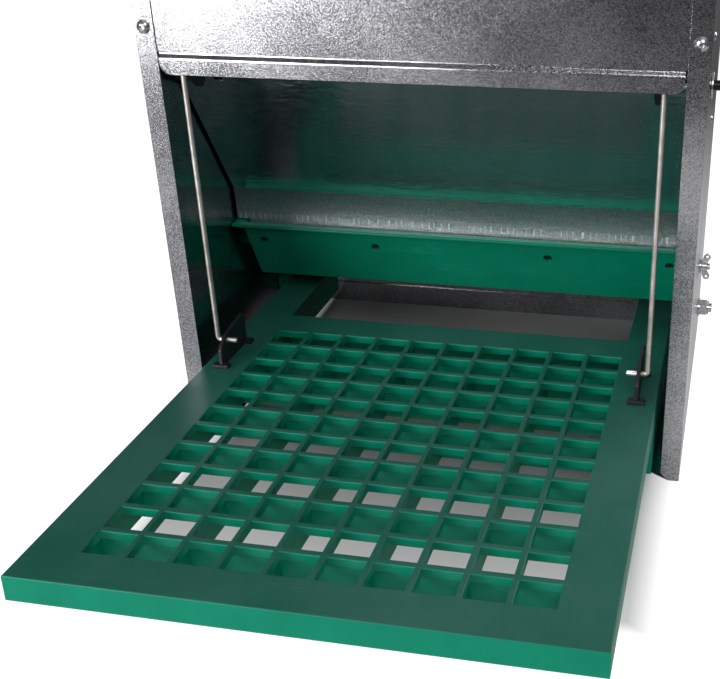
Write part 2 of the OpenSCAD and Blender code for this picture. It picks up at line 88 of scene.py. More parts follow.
# The step plate in its own frame, in millimetres: x across, y back from the pivot, z up from the pivot
DECK = {
    "top": 12.7,
    "front": -534.94,
    "rear": 14.0,
    "half": 179.2,
    "pitch": 29.42,
    "grid_front": -534.95 + 1.04 * 29.42,
    "grid_half": 147.1,
    "cells_x": 10,
    "cells_y": 12,
    "skin": 3.0,
    "grid_depth": 6.0,
    "rib_half": 1.2,
    "wall": 3.0,
    "inset": 0.03,
    "rib_x": 4.2,
    "rib_y": 5.2,
    "rib_low_front": 21.4,
    "rib_low_rear": 28.6,
    "skirt": 17.4,
    "cheek": -239.0,
    "window_half": 147.0,
    "window_front": -119.5,
    "window_depth": 27.0,
}
TOP_FACE = PIVOT[1] * math.sin(RISE) + PIVOT[2] * math.cos(RISE) + DECK["top"] * MM
BODY_OF = {name: piece["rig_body"] for name, piece in frame["nodes"].items()}


# ---- sizes and colours a user may change ----


def colour(name, description, default):
    return FloatVectorProperty(
        name=name, description=description, subtype="COLOR", size=3, min=0, max=1, default=default
    )


def length(name, description, default):
    return FloatProperty(name=name, description=description, unit="LENGTH", subtype="DISTANCE", default=default)


def factor(name, description, default):
    return FloatProperty(name=name, description=description, subtype="FACTOR", min=0, max=1, default=default)


def watts(name, description, default):
    return FloatProperty(name=name, description=description, unit="POWER", min=0, default=default)


class FeederSheetSettings(PropertyGroup):
    zinc: colour("Zinc", "Colour of the galvanised sheet", (0.76, 0.76, 0.79))
    zinc_shadow: colour("Dark grains", "Colour of the darkest grains in the zinc", (0.17, 0.17, 0.19))
    flap_steel: colour("Flap steel", "Colour of the smoother sheet of the flap", (0.84, 0.90, 0.96))
    bend_radius: length("Bend radius", "Radius of the pressed bends", 3 * MM)
    edge: length("Cut edge", "Rounding of the cut edges", 0.25 * MM)


class FeederPlasticSettings(PropertyGroup):
    step_green: colour("Step plate green", "Colour of the moulded step plate", (0.0, 0.20, 0.118))
    trough_green: colour("Trough green", "Colour of the moulded trough", (0.0, 0.19, 0.105))
    black: colour("Black", "Colour of the black brackets and bushes", (0.006, 0.006, 0.007))
    edge: length("Moulded edge", "Rounding of the moulded edges", 0.8 * MM)
    rib_round: length("Rib rounding", "Rounding along the openings and edges of the step plate", 1.0 * MM)


class FeederHardwareSettings(PropertyGroup):
    rod: colour("Rods", "Colour of the drawn rods", (0.80, 0.73, 0.69))
    zinc_plate: colour("Fasteners", "Colour of the plated fasteners", (0.66, 0.66, 0.68))
    edge: length("Fastener edge", "Rounding of the fastener edges", 0.2 * MM)


class FeederStageSettings(PropertyGroup):
    floor: colour("Floor", "Colour of the floor", (0.32, 0.32, 0.32))
    far_floor: colour("Far floor", "Colour of the floor well away from the feeder", (0.05, 0.05, 0.05))
    floor_glow: factor("Floor glow", "Extra light of the open floor as the camera sees it", 1.0)
    near_glow: factor("Near glow", "Light that the open floor close to the feeder gives off", 0.3)
    sky: FloatProperty(name="Sky", description="Strength of the even light all round", min=0, default=0.14)
    key: watts("Key light", "Power of the large light on the left", 52)
    fill: watts("Top light", "Power of the large light overhead", 5)
    front: watts("Front light", "Power of the light beside the camera", 11)
    rear: watts("Rear light", "Power of the light behind", 34)
    lens: FloatProperty(name="Lens", description="Focal length on a 36 mm sensor", unit="CAMERA", default=61.589)


# ---- shading ----


def add(tree, kind, inputs=None, **settings):
    """One shader node with its settings, each input given a value or a link."""
    made = tree.nodes.new("ShaderNode" + kind)
    for key, value in settings.items():
        setattr(made, key, value)
    for key, value in (inputs or {}).items():
        socket = made.inputs[key]
        if isinstance(value, bpy.types.NodeSocket):
            tree.links.new(value, socket)
        else:
            socket.default_value = value
    return made


def maths(tree, operation, a, b=0.0, clamp=False):
    return add(tree, "Math", {0: a, 1: b}, operation=operation, use_clamp=clamp).outputs[0]


def times(tree, a, b):
    return maths(tree, "MULTIPLY", a, b)


def plus(tree, a, b):
    return maths(tree, "ADD", a, b)


def minus(tree, a, b):
    return maths(tree, "SUBTRACT", a, b)


def size_of(tree, a):
    return maths(tree, "ABSOLUTE", a)


def shade(share, tone):
    """A colour with its three parts multiplied by the share."""
    return tuple(share * c for c in tone)


def ramp(tree, value, low, high, to_low=0.0, to_high=1.0):
    """Straight ramp: value low gives to_low, value high gives to_high, held flat outside."""
    return add(
        tree,
        "MapRange",
        {"Value": value, "From Min": low, "From Max": high, "To Min": to_low, "To Max": to_high},
    ).outputs[0]


def blend_colours(tree, mask, a, b):
    made = add(tree, "Mix", data_type="RGBA")
    for socket, value in ((made.inputs[0], mask), (made.inputs[6], a), (made.inputs[7], b)):
        if isinstance(value, bpy.types.NodeSocket):
            tree.links.new(value, socket)
        else:
            socket.default_value = value if isinstance(value, float) else (*value[:3], 1.0)
    return made.outputs[2]


def noise(tree, where, scale, detail=2.0, rough=0.5):
    return add(tree, "TexNoise", {"Vector": where, "Scale": scale, "Detail": detail, "Roughness": rough}).outputs[0]


def stretched(tree, where, scale):
    """The coordinates multiplied axis by axis, so a pattern drawn on them is pulled out."""
    return add(tree, "Mapping", {"Vector": where, "Scale": scale}).outputs[0]


def new_group(name, inputs, outputs):
    """A shader node group with value or vector inputs and value outputs."""
    if name in bpy.data.node_groups:
        return bpy.data.node_groups[name], None, None
    group = bpy.data.node_groups.new(name, "ShaderNodeTree")
    for label, kind, default in inputs:
        socket = group.interface.new_socket(name=label, in_out="INPUT", socket_type=kind)
        if default is not None:
            socket.default_value = default
    for label in outputs:
        group.interface.new_socket(name=label, in_out="OUTPUT", socket_type="NodeSocketFloat")
    return group, group.nodes.new("NodeGroupInput"), group.nodes.new("NodeGroupOutput")


def use_group(tree, group, inputs):
    made = tree.nodes.new("ShaderNodeGroup")
    made.node_tree = group
    for key, value in inputs.items():
        if isinstance(value, bpy.types.NodeSocket):
            tree.links.new(value, made.inputs[key])
        else:
            made.inputs[key].default_value = value
    return made.outputs


def zinc_grain():
    """Grain of hot-dip zinc: specks under a millimetre across, crystal cells of their own tone and slow clouds."""
    group, given, result = new_group(
        "Zinc grain",
        [("Where", "NodeSocketVector", None), ("Cells", "NodeSocketFloat", 1000.0)],
        ["Tone", "Cloud", "Height"],
    )
    if given is None:
        return group
    where = given.outputs["Where"]
    cells = given.outputs["Cells"]
    crystals = add(group, "TexVoronoi", {"Vector": where, "Scale": cells, "Randomness": 1.0})
    random_tone = add(group, "SeparateColor", {"Color": crystals.outputs["Color"]}).outputs[0]
    specks = noise(group, where, times(group, cells, 1.25), 2.0, 0.7)
    cloud = noise(group, where, 11.0, 4.0, 0.6)
    mixed = plus(group, times(group, random_tone, 0.3), times(group, specks, 0.9))
    group.links.new(ramp(group, mixed, 0.42, 0.78), result.inputs["Tone"])
    group.links.new(ramp(group, cloud, 0.35, 0.65), result.inputs["Cloud"])
    group.links.new(mixed, result.inputs["Height"])
    return group


def handling_marks():
    """Marks of use: long thin scratches in three directions, where stretched noise crosses a narrow band of values,
    and a patchy haze."""
    group, given, result = new_group(
        "Handling marks",
        [("Where", "NodeSocketVector", None), ("Amount", "NodeSocketFloat", 0.5)],
        ["Scratches", "Haze"],
    )
    if given is None:
        return group
    where = given.outputs["Where"]
    lines = []
    for turn, scale in ((0.35, (9.0, 160.0, 60.0)), (-1.1, (11.0, 190.0, 60.0)), (1.45, (7.0, 140.0, 60.0))):
        turned = add(group, "Mapping", {"Vector": where, "Rotation": (0.0, 0.0, turn), "Scale": scale}).outputs[0]
        waves = noise(group, turned, 1.0, 2.0, 0.5)
        lines.append(ramp(group, size_of(group, minus(group, waves, 0.62)), 0.0, 0.012, 1.0, 0.0))
    both = maths(group, "MAXIMUM", lines[0], maths(group, "MAXIMUM", lines[1], lines[2]))
    patches = ramp(group, noise(group, where, 21.0, 3.0, 0.6), 0.42, 0.66)
    marks = times(group, times(group, both, patches), given.outputs["Amount"])
    haze = ramp(group, noise(group, where, 9.0, 5.0, 0.62), 0.35, 0.75)
    group.links.new(marks, result.inputs["Scratches"])
    group.links.new(haze, result.inputs["Haze"])
    return group


def new_material(name, **sockets):
    """A Principled material whose uniform values sit on its own sockets."""
    material = bpy.data.materials.new(name)
    material.use_nodes = True
    tree = material.node_tree
    shader = tree.nodes["Principled BSDF"]
    for key, value in sockets.items():
        shader.inputs[key.replace("_", " ")].default_value = value
    where = tree.nodes.new("ShaderNodeTexCoord").outputs["Object"]
    return material, tree, shader, where


def bump(tree, shader, height, strength, distance):
    made = add(tree, "Bump", {"Height": height, "Strength": strength, "Distance": distance})
    tree.links.new(made.outputs[0], shader.inputs["Normal"])


def kept(name, make):
    """The material of that name, made the first time it is wanted."""
    return bpy.data.materials.get(name) or make(name)


def galvanised(name="Galvanised sheet"):
    def make(name):
        sheet = bpy.context.scene.feeder_sheet
        material, tree, shader, where = new_material(name, Metallic=1.0)
        grain = use_group(tree, zinc_grain(), {"Where": where, "Cells": 1650.0})
        clouds = times(tree, minus(tree, grain["Cloud"], 0.55), 0.5)
        tone = maths(tree, "ADD", grain["Tone"], clouds, True)
        tree.links.new(blend_colours(tree, tone, sheet.zinc_shadow, sheet.zinc), shader.inputs["Base Color"])
        tree.links.new(ramp(tree, grain["Tone"], 0.0, 1.0, 0.1, 0.2), shader.inputs["Roughness"])
        bump(tree, shader, grain["Height"], 0.28, 0.00016)
        return material

    return kept(name, make)


def flap_sheet(name="Flap sheet"):
    """Smooth bright sheet with flat ripples like orange peel.
    Below the bend it is grained zinc with a row of short upright scores."""

    def make(name):
        sheet = bpy.context.scene.feeder_sheet
        material, tree, shader, where = new_material(name, Metallic=1.0)
        place = add(tree, "SeparateXYZ", {"Vector": where}).outputs
        height_above = place[2]
        strip = ramp(tree, height_above, BEND_Z - 0.5 * MM, BEND_Z + 0.5 * MM, 1.0, 0.0)
        grain = use_group(tree, zinc_grain(), {"Where": where, "Cells": 1300.0})
        peel = noise(tree, stretched(tree, where, (90.0, 220.0, 220.0)), 1.0, 2.0, 0.55)
        ripple = noise(tree, stretched(tree, where, (16.0, 4.0, 4.0)), 1.0, 1.0, 0.4)
        wander = noise(tree, stretched(tree, where, (60.0, 1.0, 1.0)), 1.0, 1.0, 0.4)
        beat = maths(tree, "FRACT", plus(tree, times(tree, place[0], 1 / SCORE_PITCH), times(tree, wander, 2.2)))
        scores = ramp(tree, size_of(tree, minus(tree, beat, 0.5)), 0.06, 0.14, 1.0, 0.0)
        there = ramp(tree, noise(tree, stretched(tree, where, (130.0, 1.0, 1.0)), 1.0, 1.0, 0.5), 0.36, 0.5)
        foot = ramp(tree, height_above, SCORE_Z - 1.5 * MM, SCORE_Z)
        head = ramp(tree, height_above, SCORE_Z + 4 * MM, SCORE_Z + 5.5 * MM, 1.0, 0.0)
        score_row = times(tree, times(tree, times(tree, scores, there), foot), head)
        plain_tone = ramp(tree, grain["Tone"], 0.2, 0.9)
        plain = blend_colours(tree, plain_tone, shade(0.9, sheet.flap_steel), sheet.flap_steel)
        grained = blend_colours(tree, grain["Tone"], shade(2.4, sheet.zinc_shadow), shade(0.95, sheet.zinc))
        marked = blend_colours(tree, score_row, grained, (1.0, 1.0, 1.0))
        tree.links.new(blend_colours(tree, strip, plain, marked), shader.inputs["Base Color"])
        smooth_gloss = ramp(tree, peel, 0.3, 0.7, 0.13, 0.2)
        strip_gloss = ramp(tree, grain["Tone"], 0.0, 1.0, 0.34, 0.48)
        gloss = add(tree, "Mix", {0: strip, 2: smooth_gloss, 3: strip_gloss}).outputs[0]
        tree.links.new(gloss, shader.inputs["Roughness"])
        waves = plus(tree, times(tree, ripple, 3.0), times(tree, peel, 1.6))
        specks = times(tree, grain["Height"], plus(tree, times(tree, strip, 0.9), 0.12))
        bump(tree, shader, plus(tree, plus(tree, waves, specks), score_row), 0.5, 0.0004)
        return material

    return kept(name, make)


def moulded_green(name, base, worn, haze_share, roughness, worn_and_shaded_top=False):
    """Moulded plastic: one colour with slow flow clouds, a patchy haze of wear, thin scratches and a fine grain.
    For the step plate the haze and scratches lie on its top face alone, and that top face also carries a painted
    shade that makes it darker than its walls."""

    def make(name):
        material, tree, shader, where = new_material(name, Metallic=0.0, IOR=1.45, Specular_IOR_Level=0.22)
        marks = use_group(tree, handling_marks(), {"Where": where, "Amount": 0.7})
        upward = (0.0, math.sin(RISE), math.cos(RISE))
        above = add(tree, "VectorMath", {0: where, 1: upward}, operation="DOT_PRODUCT").outputs["Value"]
        top_face = ramp(tree, above, TOP_FACE - 0.6 * MM, TOP_FACE - 0.1 * MM) if worn_and_shaded_top else 1.0
        flow = noise(tree, where, 30.0, 3.0, 0.55)
        body = blend_colours(tree, ramp(tree, flow, 0.3, 0.7), shade(0.85, base), base)
        # Painted shade: the step plate's top face is blended 70 per cent towards a dark green, as if it got less
        # light than its walls.
        top_painted_shade_share = times(tree, top_face, 0.7 if worn_and_shaded_top else 0.0)
        top_shaded_colour = blend_colours(tree, top_painted_shade_share, body, (0.012, 0.08, 0.062))
        haze = times(tree, times(tree, marks["Haze"], haze_share), top_face)
        hazed = blend_colours(tree, haze, top_shaded_colour, worn)
        scratches = times(tree, marks["Scratches"], top_face)
        scratched = blend_colours(tree, times(tree, scratches, 0.45), hazed, worn)
        tree.links.new(scratched, shader.inputs["Base Color"])
        rough = plus(tree, times(tree, haze, 0.5), times(tree, scratches, 0.2))
        tree.links.new(plus(tree, rough, roughness), shader.inputs["Roughness"])
        grain = noise(tree, where, 1500.0, 2.0, 0.5)
        height = minus(tree, times(tree, grain, 0.3), times(tree, scratches, 0.8))
        bump(tree, shader, height, 0.22, 0.0002)
        return material

    return kept(name, make)


def step_green():
    base = tuple(bpy.context.scene.feeder_plastic.step_green)
    return moulded_green("Step plate plastic", base, (0.09, 0.2, 0.17), 0.32, 0.38, True)


def trough_green():
    """The moulded green with the floors of the four blind dimples darkened, where light hardly reaches."""
    base = tuple(bpy.context.scene.feeder_plastic.trough_green)
    material = moulded_green("Trough plastic", base, (0.03, 0.3, 0.2), 0.1, 0.32)
    tree = material.node_tree
    shader = tree.nodes["Principled BSDF"]
    place = add(tree, "SeparateXYZ", {"Vector": tree.nodes["Texture Coordinate"].outputs["Object"]}).outputs
    side = size_of(tree, place[0])
    across = maths(tree, "MINIMUM", *(size_of(tree, minus(tree, side, x)) for x in DIMPLE_X))
    upward = times(tree, minus(tree, place[2], DIMPLE_Z), 1.13)
    squares = plus(tree, maths(tree, "POWER", across, 2.0), maths(tree, "POWER", upward, 2.0))
    apart = maths(tree, "SQRT", squares)
    # Painted shade: round the middle of each dimple the trough's colour is blended towards a near-black green.
    painted_dimple_shade = ramp(tree, apart, 3.0 * MM, 4.2 * MM, 0.9, 0.0)
    plain = shader.inputs["Base Color"].links[0].from_socket
    tree.links.new(blend_colours(tree, painted_dimple_shade, plain, (0.0, 0.008, 0.005)), shader.inputs["Base Color"])
    return material


def black_part(name="Black plastic", roughness=0.42, metallic=0.0):
    """Black moulding or paint with a fine grain and slightly greyed high spots."""

    def make(name):
        base = tuple(bpy.context.scene.feeder_plastic.black)
        material, tree, shader, where = new_material(name, Metallic=metallic)
        marks = use_group(tree, handling_marks(), {"Where": where, "Amount": 0.6})
        worn = shade(2.2, base)
        tree.links.new(blend_colours(tree, marks["Haze"], base, worn), shader.inputs["Base Color"])
        tree.links.new(plus(tree, times(tree, marks["Haze"], 0.12), roughness), shader.inputs["Roughness"])
        bump(tree, shader, noise(tree, where, 2200.0, 2.0, 0.6), 0.3, 0.0002)
        return material

    return kept(name, make)


def plated(name="Zinc plate", tint=None, low=0.16, high=0.34):
    """Bright plated steel: faint blotches of tone and turning marks that vary the gloss."""

    def make(name):
        base = tuple(tint or bpy.context.scene.feeder_hardware.zinc_plate)
        material, tree, shader, where = new_material(name, Metallic=1.0)
        blotch = noise(tree, where, 320.0, 3.0, 0.6)
        fine = noise(tree, stretched(tree, where, (900.0, 4200.0, 4200.0)), 1.0, 2.0, 0.5)
        darker = shade(0.66, base)
        tree.links.new(blend_colours(tree, ramp(tree, blotch, 0.3, 0.65), darker, base), shader.inputs["Base Color"])
        tree.links.new(ramp(tree, fine, 0.3, 0.7, low, high), shader.inputs["Roughness"])
        bump(tree, shader, fine, 0.12, 0.0001)
        return material

    return kept(name, make)


def drawn_wire(name="Drawn rod"):
    """Drawn wire: draw lines along the rod and a warm dull bloom."""

    def make(name):
        base = tuple(bpy.context.scene.feeder_hardware.rod)
        material, tree, shader, where = new_material(name, Metallic=0.85)
        lines = noise(tree, stretched(tree, where, (2400.0, 2400.0, 14.0)), 1.0, 2.0, 0.5)
        bloom = noise(tree, where, 90.0, 3.0, 0.6)
        darker = shade(0.7, base)
        mixed = plus(tree, times(tree, lines, 0.5), times(tree, bloom, 0.5))
        tree.links.new(blend_colours(tree, ramp(tree, mixed, 0.35, 0.62), darker, base), shader.inputs["Base Color"])
        tree.links.new(ramp(tree, bloom, 0.3, 0.7, 0.3, 0.45), shader.inputs["Roughness"])
        bump(tree, shader, lines, 0.15, 0.0001)
        return material

    return kept(name, make)


# ---- surfaces ----


def add_object(name, mesh, material, body, slot_name, *stands_for):
    """Links a mesh as a piece that rides on a body and stands for the CAD nodes named."""
    mesh.materials.clear()
    mesh.materials.append(material)
    piece = bpy.data.objects.new(name, mesh)
    bpy.context.scene.collection.objects.link(piece)
    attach(piece, body)
    if stands_for:
        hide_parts(*stands_for)
    return piece


def rounded_edges(piece, width, segments=2, angle=32):
    """Bevel on every edge sharper than `angle`, with normals that keep the flat faces flat."""
    rounding = piece.modifiers.new("Rounded edges", "BEVEL")
    rounding.width = width
    rounding.segments = segments
    rounding.limit_method = "ANGLE"
    rounding.angle_limit = math.radians(angle)
    rounding.use_clamp_overlap = False
    flat = piece.modifiers.new("Flat faces stay flat", "WEIGHTED_NORMAL")
    flat.keep_sharp = True
    flat.weight = 80


def merged(node):
    """A copy of a CAD node's mesh with its doubled points and flat splits merged."""
    mesh = frame["nodes"][node].data.copy()
    work = bmesh.new()
    work.from_mesh(mesh)
    bmesh.ops.remove_doubles(work, verts=work.verts, dist=2e-6)
    bmesh.ops.dissolve_limit(work, angle_limit=math.radians(0.6), verts=work.verts, edges=work.edges)
    work.to_mesh(mesh)
    work.free()
    mesh.shade_smooth()
    return mesh


def softened(node, width, material, slot_name, segments=2, angle=32):
    """A merged copy of a CAD node whose edges sharper than `angle` are rolled over on an arc `width` wide."""
    piece = add_object(node + "_finished", merged(node), material, BODY_OF[node], slot_name, node)
    rounded_edges(piece, width, segments, angle)
    return piece


def rounded_route(points, radius, steps=7):
    """The points with each inner corner swapped for an arc between its two tangent points:
    centre + radius * (cos t, sin t)."""
    points = np.asarray(points, float)
    route = [points[0]]
    for before, corner, after in zip(points[:-2], points[1:-1], points[2:]):
        a, b = before - corner, after - corner
        a, b = a / np.linalg.norm(a), b / np.linalg.norm(b)
        half = math.acos(np.clip(a @ b, -1, 1)) / 2
        centre = corner + (a + b) / np.linalg.norm(a + b) * radius / math.sin(half)
        start = corner + a * radius / math.tan(half) - centre
        end = corner + b * radius / math.tan(half) - centre
        sweep = math.pi - 2 * half
        t = np.linspace(0, 1, steps)[:, None]
        route.extend(centre + (np.sin((1 - t) * sweep) * start + np.sin(t * sweep) * end) / math.sin(sweep))
    route.append(points[-1])
    return np.array(route)


def quads_of(rows, columns, closed_rows=False, closed_columns=False, base=0):
    """Quads of a grid of rows by columns, each joining a point to its neighbours one row and one column on."""
    r = np.arange(rows if closed_rows else rows - 1)[:, None]
    c = np.arange(columns if closed_columns else columns - 1)[None, :]
    next_r, next_c = (r + 1) % rows, (c + 1) % columns
    corners = [r * columns + c, r * columns + next_c, next_r * columns + next_c, next_r * columns + c]
    return base + np.stack([k.ravel() for k in np.broadcast_arrays(*corners)], axis=1)


def surface(name, points, faces):
    """A smooth mesh from an array of points in metres and an array of faces."""
    mesh = bpy.data.meshes.new(name)
    mesh.from_pydata(points.reshape(-1, 3), [], faces.tolist())
    mesh.validate()
    mesh.shade_smooth()
    return mesh


def tube(route, radius, sides=20):
    """A circle carried along a route and closed at both ends:
    p(s, t) = route(s) + radius * (cos t * side + sin t * up)."""
    along = np.gradient(route, axis=0)
    along /= np.linalg.norm(along, axis=1, keepdims=True)
    side = np.broadcast_to([0.0, 1.0, 0.0], along.shape)
    up = np.cross(along, side)
    t = np.linspace(0, 2 * math.pi, sides, endpoint=False)
    ring = side[:, None] * np.cos(t)[None, :, None] + up[:, None] * np.sin(t)[None, :, None]
    shrink = np.ones(len(route) + 4)
    shrink[:2], shrink[-2:] = (0.0, 0.8), (0.8, 0.0)
    start = route[:1] - along[:1] * 0.2 * radius
    end = route[-1:] + along[-1:] * 0.2 * radius
    path = np.concatenate([start, start, route, end, end])
    rings = np.concatenate([ring[:1], ring[:1], ring, ring[-1:], ring[-1:]])
    points = path[:, None] + rings * radius * shrink[:, None, None]
    return points, quads_of(len(path), sides, closed_columns=True)


# ---- pieces ----


class PieceOperator(Operator):
    bl_options = {"REGISTER", "UNDO"}


class FEEDER_OT_housing(PieceOperator):
    """Side, back and front sheets and the sloping baffle in galvanised steel"""

    bl_idname = "feeder.housing"
    bl_label = "Housing sheets"

    def execute(self, context):
        edge = context.scene.feeder_sheet.edge
        for node in ("left_side_panel", "right_side_panel", "back_panel", "feed_baffle"):
            softened(node, edge, galvanised(), "galvanised")
        self.front_sheet(context.scene.feeder_sheet)
        return {"FINISHED"}

    def front_sheet(self, sheet):
        """A pressed sheet: the profile (y, z) runs up the lip, steps back on two arcs and goes straight up.
        Each row is x = t * half(z); at the lip's corners half(z) = half width - (r - sqrt(r^2 - (r - height)^2)).
        The wide part swells by a tenth of a millimetre, sine times sine."""
        low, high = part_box("front_panel")
        back, lip = high.y - 0.5 * MM, low.y + 0.5 * MM
        crease, corner = low.z + 13 * MM, 8 * MM
        bends = [[lip, low.z], [lip, crease - 1.5 * MM], [back, crease + 1.5 * MM], [back, high.z]]
        profile = rounded_route(bends, sheet.bend_radius, 9)
        quarter = np.linspace(0, math.pi / 2, 11)
        corner_rows = np.stack([np.full(11, lip), low.z + corner * (1 - np.cos(quarter))], axis=1)
        tall = np.stack([np.full(58, back), np.linspace(crease + 6 * MM, high.z, 58)], axis=1)
        profile = np.concatenate([corner_rows, profile[1:-1], tall])
        y, z = profile.T
        inset = corner - np.sqrt(np.maximum(corner**2 - np.maximum(corner - (z - low.z), 0) ** 2, 0))
        half = np.where(z > crease + 5 * MM, high.x, OPENING_HALF - 1.1 * MM) - inset
        t = np.linspace(-1, 1, 90)
        x = half[:, None] * t
        z_rows = z[:, None]
        upper_part = z_rows > crease + 5 * MM
        swell = 0.12 * MM * np.sin(2.3 * math.pi * t + 0.6) * np.sin((z_rows - crease) * 26.0) * upper_part
        points = np.stack([x, y[:, None] + swell, np.broadcast_to(z_rows, x.shape)], axis=-1)
        mesh = surface("front_panel_sheet", points, quads_of(len(z), len(t)))
        body = BODY_OF["front_panel"]
        piece = add_object("front_panel_sheet", mesh, galvanised(), body, "galvanised", "front_panel")
        wall = piece.modifiers.new("Sheet thickness", "SOLIDIFY")
        wall.thickness = 1.0 * MM
        wall.offset = 0
        wall.use_even_offset = True
        rounded_edges(piece, sheet.edge, 2, 50)


class FEEDER_OT_lid(PieceOperator):
    """Lid tray in galvanised steel with its long hinge"""

    bl_idname = "feeder.lid"
    bl_label = "Lid and hinge"

    def execute(self, context):
        softened("lid_panel", context.scene.feeder_sheet.edge, galvanised(), "galvanised")
        for node in ("lid_hinge_leaf", "lid_hinge_strap", "lid_hinge_pin"):
            softened(node, context.scene.feeder_hardware.edge, plated(), "zinc")
        return {"FINISHED"}


class FEEDER_OT_flap(PieceOperator):
    """Swinging flap with its weight bar, axle and bushes"""

    bl_idname = "feeder.flap"
    bl_label = "Flap and axle"

    def execute(self, context):
        edge = context.scene.feeder_sheet.edge
        softened("feed_flap", edge, flap_sheet(), "flap_steel")
        softened("flap_weight", 0.5 * MM, plated("Weight bar", (0.30, 0.30, 0.31), 0.35, 0.55), "dark_steel")
        softened("flap_axle", 0.4 * MM, black_part("Black axle", 0.3, 0.4), "black_steel")
        softened("axle_bushes", 0.3 * MM, black_part(), "black_plastic")
        return {"FINISHED"}


class FEEDER_OT_trough(PieceOperator):
    """Moulded feed trough"""

    bl_idname = "feeder.trough"
    bl_label = "Feed trough"

    def execute(self, context):
        softened("feed_trough", context.scene.feeder_plastic.edge, trough_green(), "green_trough", 3)
        return {"FINISHED"}


class FEEDER_OT_step_plate(PieceOperator):
    """Moulded step plate with its open grid"""

    bl_idname = "feeder.step_plate"
    bl_label = "Step plate"

    def execute(self, context):
        mesh = self.moulding(context.scene.feeder_plastic.rib_round / MM)
        add_object("step_plate_moulding", mesh, step_green(), BODY_OF["treadle_plate"], "green_step", "treadle_plate")
        for node in ("treadle_arm_left", "treadle_arm_right"):
            softened(node, 0.05 * MM, step_green(), "green_step")
        return {"FINISHED"}

    def moulding(self, r):
        """Deck and ribs in the plate's own frame (millimetres, top face at z = top), then turned about the pivot.
        The top face is a grid of x lines by y lines: z = top - (r - sqrt(r^2 - (r - d)^2)),
        d being the distance to the nearest opening or edge, at most r. Walls drop from every rim."""
        arc = r * np.array([0, 0.034, 0.134, 0.293, 0.5, 0.741, 1.0, 1.2])
        cells_x = -DECK["grid_half"] + DECK["pitch"] * np.arange(DECK["cells_x"])[:, None]
        cells_y = DECK["grid_front"] + DECK["pitch"] * np.arange(DECK["cells_y"])[:, None]
        first_x, last_x = cells_x + DECK["rib_x"] / 2, cells_x + DECK["pitch"] - DECK["rib_x"] / 2
        first_y, last_y = cells_y + DECK["rib_y"] / 2, cells_y + DECK["pitch"] - DECK["rib_y"] / 2
        half, window, edge_grid = DECK["half"], DECK["window_half"], DECK["grid_half"] + 2
        front, rear, window_y, cheek = DECK["front"], DECK["rear"], DECK["window_front"], DECK["cheek"]
        grid_run = DECK["cells_y"] * DECK["pitch"]
        grid_ends = DECK["grid_front"] + np.array([-2.02, -2, grid_run + 2, grid_run + 2.02])
        x = np.concatenate([half - arc, window + arc, [edge_grid, edge_grid + 0.02]])
        x = np.unique(np.round(np.concatenate([-x, x, (first_x - arc).ravel(), (last_x + arc).ravel()]), 4))
        y = np.concatenate([front + arc, rear - arc, window_y - arc, grid_ends, [cheek, cheek + 0.02]])
        y = np.unique(np.round(np.concatenate([y, (first_y - arc).ravel(), (last_y + arc).ravel()]), 4))

        def outside(v, first, last):
            """Distance of v from the nearest of the spans first to last, 0 within one."""
            return np.maximum(np.maximum(first - v, v - last), 0).min(axis=0)

        def to_window(px, py):
            return np.hypot(np.maximum(np.abs(px) - window, 0), np.maximum(window_y - py, 0))

        gap_x, gap_y = outside(x, first_x, last_x), outside(y, first_y, last_y)
        grid_x, grid_y = np.meshgrid(x, y, indexing="ij")
        border = np.minimum(half - np.abs(grid_x), np.minimum(grid_y - front, rear - grid_y))
        to_opening = np.hypot(gap_x[:, None], gap_y[None, :])
        nearest = np.minimum(np.minimum(to_opening, border), to_window(grid_x, grid_y))
        drop = r - np.sqrt(r**2 - (r - np.clip(nearest, 0, r)) ** 2)
        top = DECK["top"]
        in_grid = (np.abs(grid_x) <= edge_grid) & (grid_y >= grid_ends[1]) & (grid_y <= grid_ends[2])
        upper = np.stack([grid_x, grid_y, top - drop], axis=-1).reshape(-1, 3)
        floor_depth = np.where(in_grid, DECK["grid_depth"], DECK["skin"])
        lower = np.stack([grid_x, grid_y, top - floor_depth], axis=-1).reshape(-1, 3)
        quads = quads_of(len(x), len(y))
        middle = upper[quads].mean(axis=1)
        solid_x = outside(middle[:, 0], first_x, last_x) > 0
        solid_y = outside(middle[:, 1], first_y, last_y) > 0
        quads = quads[(solid_x | solid_y) & (to_window(middle[:, 0], middle[:, 1]) > 0)][:, ::-1]

        rim = np.stack([quads, np.roll(quads, -1, axis=1)], axis=-1).reshape(-1, 2)
        size = len(upper)
        rim = rim[~np.isin(rim[:, 0] * size + rim[:, 1], rim[:, 1] * size + rim[:, 0])]
        across, along = np.abs(upper[:, 0]), upper[:, 1]
        depth = np.full(size, DECK["grid_depth"])
        depth[(along > rear - 0.01) | (across > half - 0.01)] = DECK["skin"]
        depth[(along < front + 0.01) | ((across > half - 0.01) & (along <= cheek))] = DECK["skirt"]
        depth[(across < window + 0.01) & (along > window_y - 0.01)] = DECK["window_depth"]
        below = upper - [0, 0, 0.25]
        foot = np.stack([upper[:, 0], upper[:, 1], top - depth], axis=-1)
        near, far = rim.T
        band = np.stack([far, near, near + size, far + size], axis=1)
        walls = [band, band + size]
        points = np.concatenate([upper, below, foot, lower])
        faces = np.concatenate([quads, *walls, quads[:, ::-1] + 3 * size])

        box_points, box_faces = self.bars(self.rib_sizes(), len(points))
        points = np.concatenate([points, box_points])
        across, along, upward = points.T
        turned_y = along * math.cos(RISE) + upward * math.sin(RISE)
        turned_z = upward * math.cos(RISE) - along * math.sin(RISE)
        placed = np.stack([across, turned_y, turned_z], axis=1) * MM + [0, PIVOT[1], PIVOT[2]]
        mesh = surface("step_plate_moulding", placed, np.concatenate([faces, box_faces]))
        loose = bmesh.new()
        loose.from_mesh(mesh)
        bmesh.ops.delete(loose, geom=[v for v in loose.verts if not v.link_faces], context="VERTS")
        loose.to_mesh(mesh)
        loose.free()
        return mesh

